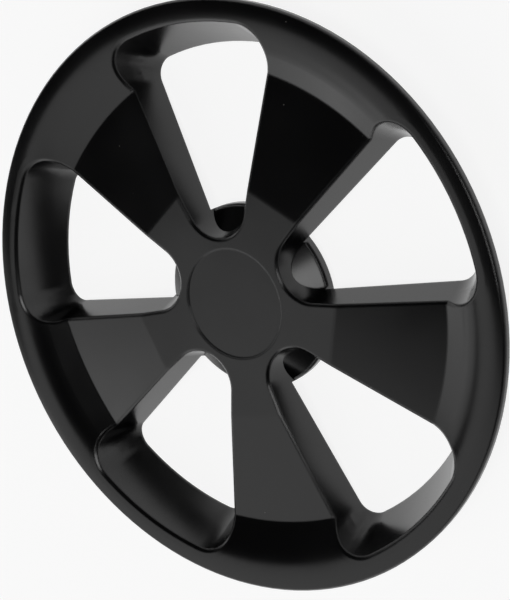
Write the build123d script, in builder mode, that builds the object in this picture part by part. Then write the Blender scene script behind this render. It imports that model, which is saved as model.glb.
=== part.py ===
import os
from math import atan2, cos, degrees, radians, sin, sqrt, tan

from build123d import *

# Moulded plastic wheel cap, one piece, in millimetres.
# The wheel's axis is Z, the front faces +Z, and z = 0 is the plane of the feet at the back.

# Overall
cap_radius = 100.0
wall = 2.4
spokes = 5
edge_bevel = 0.65         # rim's outer edge, front edges of the windows and the edge of their shelves

# Front surface: heights are above the feet
plateau_height = 16.8
plateau_edge = 38.5       # axis to the straight bend where a spoke's flat face begins
plateau_bend_round = 8.0
crease_height = 12.2      # foot of the cove, on a spoke's middle line
cove_run = 7.3            # straight part of the cove, from the crease outwards
cove_rise = 3.3
crown_width = 15.5        # rounded crown, from the cove to the outer edge
crown_edge_height = 17.6

# Round recess in the middle of the hub
recess_radius = 18.65
recess_depth = 0.55

# Windows between the spokes, measured at the height of the plateau
window_middle = 33.5      # axis to the centre of a window's round inner end
window_round = 11.7
window_flank_angle = 22.4  # between a window's straight side and its middle line
window_margin = 7.6       # from a window's outer side to the cap's edge
window_corner_round = 11.2
window_side_draft = 17.8
window_outer_draft = 27.4

# Window walls end at the back on a slope, from the hub out to flat feet
wall_end_height = 8.2     # at the hub ring
foot_start = 16.8         # from the cap's edge in to where the flat feet begin

# Hub ring behind the plateau, with a sloping shelf across each window's inner end
ring_radius = 31.5
ring_end_height = 3.8
shelf_height = 7.0        # at the ring
shelf_slope = 12.0

# Socket for the wheel's hub, level with the ring
socket_radius = 9.0

step_angle = 360 / spokes
spoke_start = 90.0
cove_radius = cap_radius - crown_width
crease_radius = cove_radius - cove_run
cove_height = crease_height + cove_rise
cove_slope = cove_rise / cove_run
cove_tangent = (cove_run, cove_rise)
facet_angle = degrees(atan2(plateau_height - crease_height, crease_radius - plateau_edge))
clear_height = max(plateau_height, crown_edge_height) + wall  # above the whole front surface


def well_outline(height, grow):
    # Plan of one window, around +X, at a height; grow moves every side out by that thickness
    depth = plateau_height - height
    side_inset = depth * tan(radians(window_side_draft)) - grow / cos(radians(window_side_draft))
    outer_inset = depth * tan(radians(window_outer_draft)) - grow / cos(radians(window_outer_draft))
    inner_round = window_round - side_inset
    outer_radius = cap_radius - window_margin - outer_inset
    along = Vector(cos(radians(window_flank_angle)), sin(radians(window_flank_angle)))
    across = Vector(-along.Y, along.X)
    axis_offset = inner_round - window_middle * along.Y
    start = Vector(window_middle, 0) + across * inner_round
    end = across * axis_offset + along * sqrt(outer_radius**2 - axis_offset**2)
    with BuildSketch(Plane.XY.offset(height)) as outline:
        with BuildLine():
            Line(start, end)
            ThreePointArc(end, (outer_radius, 0), (end.X, -end.Y))
            Line((end.X, -end.Y), (start.X, -start.Y))
            ThreePointArc((start.X, -start.Y), (window_middle - inner_round, 0), start)
        make_face()
        fillet(outline.vertices().sort_by(Axis.X)[-2:], window_corner_round - side_inset)
    return outline.sketch


def make_wells(grow):
    # All windows as tapered wells, from below the feet to above the rim
    with BuildPart() as well:
        loft([well_outline(-wall, grow), well_outline(clear_height, grow)], ruled=True)
    with BuildPart() as wells:
        with PolarLocations(0, spokes, start_angle=spoke_start + step_angle / 2):
            add(well.part)
    return wells.part


# What lies above the plateau and one spoke's flat face, with the bend between them rounded
with BuildPart() as above_spoke:
    facet_end = plateau_height - (cap_radius - plateau_edge) * tan(radians(facet_angle))
    with BuildSketch(Plane.XZ):
        with BuildLine():
            bend = [(0, plateau_height), (plateau_edge, plateau_height), (cap_radius, facet_end)]
            FilletPolyline(*bend, radius=plateau_bend_round)
            Polyline((cap_radius, facet_end), (cap_radius, clear_height), (0, clear_height), (0, plateau_height))
        make_face()
    extrude(amount=cap_radius, both=True)

# Everything under the front surface, down to the feet
with BuildPart() as front:
    with BuildSketch():
        Circle(cove_radius)
    extrude(amount=clear_height)
    with PolarLocations(0, spokes, start_angle=spoke_start):
        add(above_spoke.part, mode=Mode.SUBTRACT)
    with BuildSketch(Plane.XZ):
        with BuildLine():
            rise = Line((crease_radius - crease_height / cove_slope, 0), (cove_radius, cove_height))
            crown = TangentArc(rise @ 1, (cap_radius, crown_edge_height), tangent=cove_tangent)
            Polyline(crown @ 1, (cap_radius, 0), rise @ 0)
        make_face()
    revolve(axis=Axis.Z)

# Crown of the rim, as thick as the wall, its back in two plain slopes and its outer edge bevelled
with BuildPart() as rim:
    with BuildSketch(Plane.XZ) as section:
        with BuildLine():
            top = TangentArc((cove_radius, cove_height), (cap_radius, crown_edge_height), tangent=cove_tangent)
            Polyline(top @ 0, *[top @ along - Vector(0, wall) for along in (0, 0.5, 1)], top @ 1)
        make_face()
        chamfer(section.vertices().group_by(Axis.X)[-1].sort_by(Axis.Y)[-1], edge_bevel)
    revolve(axis=Axis.Z)

inner_wells = make_wells(0)
outer_wells = make_wells(wall)

# Space behind the window walls: under the hub they end inside the ring, then on a slope out to the feet
with BuildPart() as behind:
    with BuildSketch(Plane.XZ):
        with BuildLine():
            Polyline(
                (0, -wall),
                (0, shelf_height - wall),
                (ring_radius, shelf_height - wall),
                (ring_radius, wall_end_height),
                (cap_radius - foot_start, 0),
                (cap_radius - foot_start, -wall),
                close=True,
            )
        make_face()
    revolve(axis=Axis.Z)

# Walls around the windows, trimmed by the front surface, the feet and the slope at the back
with BuildPart() as window_walls:
    add(outer_wells)
    add(front.part, mode=Mode.INTERSECT)
    add(behind.part, mode=Mode.SUBTRACT)

# Ring and socket behind the hub, up to the front surface
with BuildPart() as hub_ring:
    with BuildSketch(Plane.XY.offset(ring_end_height)):
        Circle(ring_radius)
        Circle(ring_radius - wall, mode=Mode.SUBTRACT)
        Circle(socket_radius + wall)
        Circle(socket_radius, mode=Mode.SUBTRACT)
    extrude(amount=plateau_height - ring_end_height)
    add(front.part, mode=Mode.INTERSECT)

# Shelf and ring across the inner ends of the windows
with BuildPart() as shelves:
    with BuildSketch(Plane.XZ) as shelf:
        shelf_start = window_middle - window_round - wall
        shelf_rise = (ring_radius - shelf_start) * tan(radians(shelf_slope))
        with BuildLine():
            Polyline(
                (shelf_start, shelf_height + shelf_rise),
                (ring_radius, shelf_height),
                (ring_radius, ring_end_height),
                (ring_radius - wall, ring_end_height),
                (ring_radius - wall, shelf_height - wall),
                (shelf_start, shelf_height - wall),
                close=True,
            )
        make_face()
        chamfer(shelf.vertices().sort_by_distance((ring_radius, shelf_height))[0], edge_bevel)
    revolve(axis=Axis.Z)
    add(outer_wells, mode=Mode.INTERSECT)

with BuildPart() as hubcap:
    # Skin of even thickness under the front surface
    add(front.part)
    add(front.part.moved(Location((0, 0, -wall))), mode=Mode.SUBTRACT)
    with BuildSketch():
        Circle(cove_radius)
    extrude(amount=clear_height, mode=Mode.INTERSECT)
    add(rim.part)
    add(window_walls.part)
    add(hub_ring.part)
    add(inner_wells, mode=Mode.SUBTRACT)
    # Front edge of every window
    front_edges = hubcap.edges().filter_by(lambda edge: edge.bounding_box().min.Z > crease_height - wall / 2)
    window_edges = front_edges.filter_by(lambda edge: inner_wells.distance_to(Vertex(edge @ 0.5)) < 0.001)
    chamfer(window_edges, edge_bevel)
    add(shelves.part)
    with BuildSketch(Plane.XY.offset(plateau_height)):
        Circle(recess_radius)
    extrude(amount=-recess_depth, mode=Mode.SUBTRACT)

hubcap.part.label = "hubcap"
os.makedirs("parts", exist_ok=True)
export_step(hubcap.part, "parts/hubcap.step")
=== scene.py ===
import math

import bmesh
import bpy
from mathutils import Matrix, Vector


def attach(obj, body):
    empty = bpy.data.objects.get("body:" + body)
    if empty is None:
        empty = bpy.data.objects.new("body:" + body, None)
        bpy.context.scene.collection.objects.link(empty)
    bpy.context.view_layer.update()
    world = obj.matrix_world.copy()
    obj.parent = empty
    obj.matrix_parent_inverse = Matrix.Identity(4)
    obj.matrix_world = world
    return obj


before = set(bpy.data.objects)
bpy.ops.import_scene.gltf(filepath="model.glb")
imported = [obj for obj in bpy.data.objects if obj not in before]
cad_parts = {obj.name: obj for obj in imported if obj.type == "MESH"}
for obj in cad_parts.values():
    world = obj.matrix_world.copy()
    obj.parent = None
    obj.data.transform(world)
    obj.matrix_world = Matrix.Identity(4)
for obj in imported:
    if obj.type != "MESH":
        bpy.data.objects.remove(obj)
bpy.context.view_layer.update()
scene = bpy.context.scene
scene.view_settings.view_transform = "Standard"
perMetre = 1000.0              # millimetres
print("frame loaded:", sorted(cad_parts))


def linearColor(hexCode):
    # sRGB hex value to the linear colour that the sockets take
    channels = [int(hexCode[i:i + 2], 16) / 255 for i in (1, 3, 5)]
    return tuple(c / 12.92 if c <= 0.04045 else ((c + 0.055) / 1.055) ** 2.4 for c in channels) + (1.0,)


def addNode(tree, kind, settings=None, values=None, links=None):
    # One node: its properties, the values of its sockets, and the outputs that feed it
    node = tree.nodes.new(kind)
    for name, value in (settings or {}).items():
        setattr(node, name, value)
    for socket, value in (values or {}).items():
        node.inputs[socket].default_value = value
    for socket, output in (links or {}).items():
        tree.links.new(output, node.inputs[socket])
    return node


# Injection-moulded black ABS. The tool was polished, so the skin is a semi-gloss black: reflections of
# the studio are soft-edged, edges catch a thin line of light, and dust shows as a few pale specks.
capPlastic = {
    "colour": "#060607",
    "ior": 1.6,                # ABS is about 1.53; matched to how strongly the walls mirror the floor
    "roughness": 0.2,
    "roughnessSpread": 0.04,
    "flowMm": 38.0,            # broad clouding left by the melt as it filled the mould
    "flowDetail": 3.0,
    "flowLow": 0.3,            # the clouding's value where the skin is smoothest
    "flowHigh": 0.7,           # and where it is roughest
    "grainMm": 1.1,            # tool finish, drawn coarser than the real 0.1 mm so that it shows
    "grainDetail": 2.0,
    "grainHeightMm": 0.004,
    "grainStrength": 0.35,
    "edgeRadiusMm": 0.9,       # how softly the light turns over an edge
    "edgeSamples": 6,
    "edgeBegins": 0.99,        # cosine between rounded and flat normal where the paler edge (wear and painted highlight) begins
    "edgeFull": 0.80,          # and where it is full
    "edgeWearAndHighlightColour": "#1b1b1d",   # rubbed edges are a little paler; this also paints a thin highlight along the edges
    "dustColour": "#8c8a86",
    "dustSpacingMm": 9.0,
    "dustSizeMm": 0.22,
    "dustCore": 0.4,           # share of a speck's radius that is dust all over
}


def makeCapPlastic(look):
    material = bpy.data.materials.new("black_abs_moulded")
    material.use_nodes = True
    tree = material.node_tree
    tree.nodes.clear()
    place = addNode(tree, "ShaderNodeTexCoord").outputs["Object"]
    flow = addNode(tree, "ShaderNodeTexNoise",
                   values={"Scale": perMetre / look["flowMm"], "Detail": look["flowDetail"]},
                   links={"Vector": place})
    grain = addNode(tree, "ShaderNodeTexNoise",
                    values={"Scale": perMetre / look["grainMm"], "Detail": look["grainDetail"]},
                    links={"Vector": place})
    # Edges: where a rounded normal leaves the face's own normal; there the colour is paler, partly as wear
    # and partly as a painted highlight
    rounded = addNode(tree, "ShaderNodeBevel", {"samples": look["edgeSamples"]},
                      {"Radius": look["edgeRadiusMm"] / perMetre})
    faceNormal = addNode(tree, "ShaderNodeNewGeometry").outputs["Normal"]
    facing = addNode(tree, "ShaderNodeVectorMath", {"operation": "DOT_PRODUCT"},
                     links={0: rounded.outputs["Normal"], 1: faceNormal})
    edge = addNode(tree, "ShaderNodeMapRange",
                   values={"From Min": look["edgeBegins"], "From Max": look["edgeFull"]},
                   links={"Value": facing.outputs["Value"]})
    # Dust: one small round speck in some of the cells
    specks = addNode(tree, "ShaderNodeTexVoronoi", values={"Scale": perMetre / look["dustSpacingMm"]},
                     links={"Vector": place})
    speckReach = look["dustSizeMm"] / look["dustSpacingMm"]
    dust = addNode(tree, "ShaderNodeMapRange",
                   values={"From Min": speckReach, "From Max": speckReach * look["dustCore"]},
                   links={"Value": specks.outputs["Distance"]})
    # Paler edges: partly rubbing wear, partly a painted highlight that stands in for light catching the edges
    wearAndHighlight = addNode(tree, "ShaderNodeMix", {"data_type": "RGBA"},
                   {"A": linearColor(look["colour"]), "B": linearColor(look["edgeWearAndHighlightColour"])},
                   {"Factor": edge.outputs["Result"]})
    dusty = addNode(tree, "ShaderNodeMix", {"data_type": "RGBA"}, {"B": linearColor(look["dustColour"])},
                    {"A": wearAndHighlight.outputs["Result"], "Factor": dust.outputs["Result"]})
    gloss = addNode(tree, "ShaderNodeMapRange", values={
        "From Min": look["flowLow"],
        "From Max": look["flowHigh"],
        "To Min": look["roughness"] - look["roughnessSpread"],
        "To Max": look["roughness"] + look["roughnessSpread"],
    }, links={"Value": flow.outputs["Fac"]})
    relief = addNode(tree, "ShaderNodeBump",
                     values={"Strength": look["grainStrength"], "Distance": look["grainHeightMm"] / perMetre},
                     links={"Height": grain.outputs["Fac"], "Normal": rounded.outputs["Normal"]})
    skin = addNode(tree, "ShaderNodeBsdfPrincipled", values={"IOR": look["ior"]}, links={
        "Base Color": dusty.outputs["Result"],
        "Roughness": gloss.outputs["Result"],
        "Normal": relief.outputs["Normal"],
    })
    addNode(tree, "ShaderNodeOutputMaterial", links={"Surface": skin.outputs["BSDF"]})
    return material


capMaterial = makeCapPlastic(capPlastic)
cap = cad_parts["hubcap"]
for slot in cap.material_slots:
    slot.material = capMaterial
print("cap dressed:", len(cap.data.polygons), "triangles")


# Shelf in the round inner end of each window, which climbs from the hub ring to the window's wall (mm)
shelf = {
    "windows": 5,
    "firstWindow": 54.0,       # degrees from +X to the middle of the first window
    "edgeRadius": 30.9,        # leaves the ring's bevelled edge in sight
    "edgeHeight": 7.35,
    "slope": 32.0,
    "wallCentre": 33.5,        # the window's round end, as it is at the height of the spokes
    "wallRadius": 11.7,
    "wallTop": 16.8,
    "wallDraft": 17.8,
    "sink": 0.25,              # into the wall, so that no gap shows
    "underside": 6.2,          # inside the ring's own shelf
    "rows": 36,
    "steps": 12,
    "halvings": 40,            # of the search for the line where shelf and wall meet
    "sharpAngle": 30.0,        # degrees; steeper edges are shaded sharp
}


def shelfReach(plan, turn):
    # Radius where the sloping shelf meets the round wall, on a line at this turn from the window's middle
    near, far = plan["edgeRadius"] - plan["wallRadius"], plan["edgeRadius"]
    for _ in range(plan["halvings"]):
        radius = (near + far) / 2
        height = plan["edgeHeight"] + (plan["edgeRadius"] - radius) * math.tan(math.radians(plan["slope"]))
        wall = plan["wallRadius"] - (plan["wallTop"] - height) * math.tan(math.radians(plan["wallDraft"]))
        apart = math.hypot(radius * math.cos(turn) - plan["wallCentre"], radius * math.sin(turn))
        if apart < wall + plan["sink"]:
            far = radius
        else:
            near = radius
    return far


def makeShelfMesh(plan):
    # One shelf about +X: a closed wedge, its top on a cone
    edgeDepth = plan["wallTop"] - plan["edgeHeight"]
    edgeWall = plan["wallRadius"] - edgeDepth * math.tan(math.radians(plan["wallDraft"]))
    edge, centre = plan["edgeRadius"], plan["wallCentre"]
    halfTurn = math.acos((edge ** 2 + centre ** 2 - edgeWall ** 2) / (2 * edge * centre))
    rows, steps = plan["rows"], plan["steps"]
    top, under = [], []
    for row in range(rows + 1):
        turn = halfTurn * (2 * row / rows - 1)
        inner = shelfReach(plan, turn)
        for step in range(steps + 1):
            radius = edge + (inner - edge) * step / steps
            height = plan["edgeHeight"] + (edge - radius) * math.tan(math.radians(plan["slope"]))
            x, y = radius * math.cos(turn), radius * math.sin(turn)
            top.append((x / perMetre, y / perMetre, height / perMetre))
            under.append((x / perMetre, y / perMetre, plan["underside"] / perMetre))
    across = steps + 1
    count = len(top)
    faces = []
    for row in range(rows):
        for step in range(steps):
            a = row * across + step
            faces.append((a, a + across, a + across + 1, a + 1))
            faces.append((a + count, a + 1 + count, a + across + 1 + count, a + across + count))
    border = [row * across for row in range(rows + 1)]
    border += [rows * across + step for step in range(1, across)]
    border += [row * across + steps for row in range(rows - 1, -1, -1)]
    border += list(range(steps - 1, 0, -1))
    for a, b in zip(border, border[1:] + border[:1]):
        faces.append((b, a, a + count, b + count))
    mesh = bpy.data.meshes.new("window_shelf")
    mesh.from_pydata(top + under, [], faces)
    whole = bmesh.new()
    whole.from_mesh(mesh)
    bmesh.ops.recalc_face_normals(whole, faces=whole.faces)
    whole.to_mesh(mesh)
    whole.free()
    mesh.shade_smooth()
    mesh.set_sharp_from_angle(angle=math.radians(plan["sharpAngle"]))
    return mesh


def makeShelfTree():
    # Turns one shelf round the axis, once for each window
    tree = bpy.data.node_groups.new("shelf_in_each_window", "GeometryNodeTree")
    tree.interface.new_socket("Geometry", in_out="INPUT", socket_type="NodeSocketGeometry")
    named = {"Windows": "NodeSocketInt", "First Turn": "NodeSocketFloat", "Step Turn": "NodeSocketFloat",
             "Plastic": "NodeSocketMaterial"}
    for name, kind in named.items():
        tree.interface.new_socket(name, in_out="INPUT", socket_type=kind)
    tree.interface.new_socket("Geometry", in_out="OUTPUT", socket_type="NodeSocketGeometry")
    given = addNode(tree, "NodeGroupInput").outputs
    spots = addNode(tree, "GeometryNodeMeshLine", values={"Offset": (0.0, 0.0, 0.0)},
                    links={"Count": given["Windows"]})
    number = addNode(tree, "GeometryNodeInputIndex").outputs["Index"]
    turn = addNode(tree, "ShaderNodeMath", {"operation": "MULTIPLY_ADD"},
                   links={0: number, 1: given["Step Turn"], 2: given["First Turn"]})
    about = addNode(tree, "ShaderNodeCombineXYZ", links={"Z": turn.outputs["Value"]})
    placed = addNode(tree, "GeometryNodeInstanceOnPoints", links={
        "Points": spots.outputs["Mesh"], "Instance": given["Geometry"], "Rotation": about.outputs["Vector"]})
    plain = addNode(tree, "GeometryNodeRealizeInstances", links={"Geometry": placed.outputs["Instances"]})
    painted = addNode(tree, "GeometryNodeSetMaterial", links={
        "Geometry": plain.outputs["Geometry"], "Material": given["Plastic"]})
    addNode(tree, "NodeGroupOutput", links={"Geometry": painted.outputs["Geometry"]})
    return tree


def makeShelves(plan):
    piece = bpy.data.objects.new("window_shelves", makeShelfMesh(plan))
    scene.collection.objects.link(piece)
    repeat = piece.modifiers.new("repeat", "NODES")
    repeat.node_group = makeShelfTree()
    sockets = repeat.node_group.interface.items_tree
    inputs = {item.name: item.identifier for item in sockets if item.in_out == "INPUT"}
    repeat[inputs["Windows"]] = plan["windows"]
    repeat[inputs["First Turn"]] = math.radians(plan["firstWindow"])
    repeat[inputs["Step Turn"]] = math.radians(360 / plan["windows"])
    repeat[inputs["Plastic"]] = capMaterial
    graph = bpy.context.evaluated_depsgraph_get()
    finished = bpy.data.meshes.new_from_object(piece.evaluated_get(graph))
    piece.modifiers.remove(repeat)
    piece.data = finished
    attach(piece, "root")
    return piece


shelves = makeShelves(shelf)
print("shelves set:", len(shelves.data.polygons), "faces")


# Pale floor that runs out to the horizon
floorLook = {
    "colour": "#8a8a8a",
    "glow": 0.86,              # with the lamps' light on the floor this comes to about white
    "radius": 14.0,
    "corners": 96,
}


def makeFloor(look):
    mesh = bpy.data.meshes.new("floor")
    turns = [2 * math.pi * corner / look["corners"] for corner in range(look["corners"])]
    ring = [(look["radius"] * math.cos(turn), look["radius"] * math.sin(turn), 0.0) for turn in turns]
    mesh.from_pydata(ring, [], [list(range(look["corners"]))])
    floor = bpy.data.objects.new("floor", mesh)
    scene.collection.objects.link(floor)
    material = bpy.data.materials.new("floor_paper")
    material.use_nodes = True
    tree = material.node_tree
    tree.nodes.clear()
    rays = addNode(tree, "ShaderNodeLightPath")
    direct = addNode(tree, "ShaderNodeMath", {"operation": "MAXIMUM"},
                     links={0: rays.outputs["Is Camera Ray"], 1: rays.outputs["Is Glossy Ray"]})
    seen = addNode(tree, "ShaderNodeMath", {"operation": "MAXIMUM"},
                   links={0: direct.outputs["Value"], 1: rays.outputs["Is Transmission Ray"]})
    paper = addNode(tree, "ShaderNodeBsdfDiffuse", values={"Color": linearColor(look["colour"])})
    strength = addNode(tree, "ShaderNodeMath", {"operation": "MULTIPLY"}, {1: look["glow"]},
                       {0: seen.outputs["Value"]})
    glow = addNode(tree, "ShaderNodeEmission", links={"Strength": strength.outputs["Value"]})
    both = addNode(tree, "ShaderNodeAddShader", links={0: paper.outputs["BSDF"], 1: glow.outputs["Emission"]})
    addNode(tree, "ShaderNodeOutputMaterial", links={"Surface": both.outputs["Shader"]})
    mesh.materials.append(material)


makeFloor(floorLook)
print("floor laid")


# Studio: white towards the horizon, dim overhead, a large soft box on the far side towards -X, a small one
# beside it and a key lamp above the near side
studio = {
    "colour": "#ffffff",
    "horizonLevel": 1.0,
    "overheadLevel": 0.017,
    "horizonTop": 0.09,        # sine of the elevation where the white begins to fade
    "overheadStart": 0.42,     # and where it has gone
    "boxAzimuth": 122.0,       # degrees from +X, as seen from above
    "boxElevation": 37.0,
    "boxDistance": 2.0,
    "boxWidth": 2.0,
    "boxHeight": 2.0,
    "boxPower": 8.5,
    "sideAzimuth": 84.0,
    "sideElevation": 26.0,
    "sideDistance": 2.0,
    "sideWidth": 0.67,
    "sideHeight": 0.6,
    "sidePower": 0.9,
    "keyAzimuth": 255.0,
    "keyElevation": 68.0,
    "keyDistance": 2.2,
    "keySize": 0.9,
    "keyPower": 8.0,
}


def towards(azimuth, elevation, distance):
    turn, lift = math.radians(azimuth), math.radians(elevation)
    direction = Vector((math.cos(turn) * math.cos(lift), math.sin(turn) * math.cos(lift), math.sin(lift)))
    return direction * distance


def addSoftBox(name, azimuth, elevation, distance, width, height, power):
    lamp = bpy.data.lights.new(name, "AREA")
    lamp.shape = "RECTANGLE"
    lamp.size, lamp.size_y = width, height
    lamp.energy = power
    box = bpy.data.objects.new(name, lamp)
    box.location = towards(azimuth, elevation, distance)
    box.rotation_euler = box.location.to_track_quat("Z", "Y").to_euler()
    box.visible_camera = False
    scene.collection.objects.link(box)


def lightStudio(plan):
    world = bpy.data.worlds.new("studio")
    scene.world = world
    world.use_nodes = True
    tree = world.node_tree
    tree.nodes.clear()
    direction = addNode(tree, "ShaderNodeTexCoord").outputs["Generated"]
    height = addNode(tree, "ShaderNodeSeparateXYZ", links={"Vector": direction}).outputs["Z"]
    sky = addNode(tree, "ShaderNodeMapRange", {"interpolation_type": "SMOOTHSTEP"}, {
        "From Min": plan["horizonTop"], "From Max": plan["overheadStart"],
        "To Min": plan["horizonLevel"], "To Max": plan["overheadLevel"]}, {"Value": height})
    soft = addNode(tree, "ShaderNodeBackground", values={"Color": linearColor(plan["colour"])},
                   links={"Strength": sky.outputs["Result"]})
    addNode(tree, "ShaderNodeOutputWorld", links={"Surface": soft.outputs["Background"]})
    addSoftBox("box_far_large", plan["boxAzimuth"], plan["boxElevation"], plan["boxDistance"],
               plan["boxWidth"], plan["boxHeight"], plan["boxPower"])
    addSoftBox("box_far_small", plan["sideAzimuth"], plan["sideElevation"], plan["sideDistance"],
               plan["sideWidth"], plan["sideHeight"], plan["sidePower"])
    addSoftBox("key_near", plan["keyAzimuth"], plan["keyElevation"], plan["keyDistance"],
               plan["keySize"], plan["keySize"], plan["keyPower"])


lightStudio(studio)
print("studio lit")


# Camera at the photograph's place: above the near side, turned well over about the line of sight
view = {
    "aim": (-0.0018, -0.0091, 0.0170),
    "azimuth": 269.69,         # of the camera from the aim, degrees from +X
    "elevation": 51.32,
    "distance": 0.6224,
    "roll": -115.0,
    "lens": 115.3,
    "sensorHeight": 36.0,
    "clipStart": 0.01,
}


def placeCamera(plan):
    turn, roll = math.radians(plan["azimuth"]), math.radians(plan["roll"])
    back = towards(plan["azimuth"], plan["elevation"], 1.0)
    levelRight = Vector((-math.sin(turn), math.cos(turn), 0.0))
    levelUp = back.cross(levelRight)
    right = levelRight * math.cos(roll) + levelUp * math.sin(roll)
    up = levelUp * math.cos(roll) - levelRight * math.sin(roll)
    lens = bpy.data.cameras.new("camera")
    lens.sensor_fit = "VERTICAL"
    lens.sensor_height = plan["sensorHeight"]
    lens.lens = plan["lens"]
    lens.clip_start = plan["clipStart"]
    camera = bpy.data.objects.new("camera", lens)
    pose = Matrix((right, up, back)).transposed().to_4x4()
    pose.translation = Vector(plan["aim"]) + back * plan["distance"]
    camera.matrix_world = pose
    scene.collection.objects.link(camera)
    scene.camera = camera


placeCamera(view)
print("camera placed")
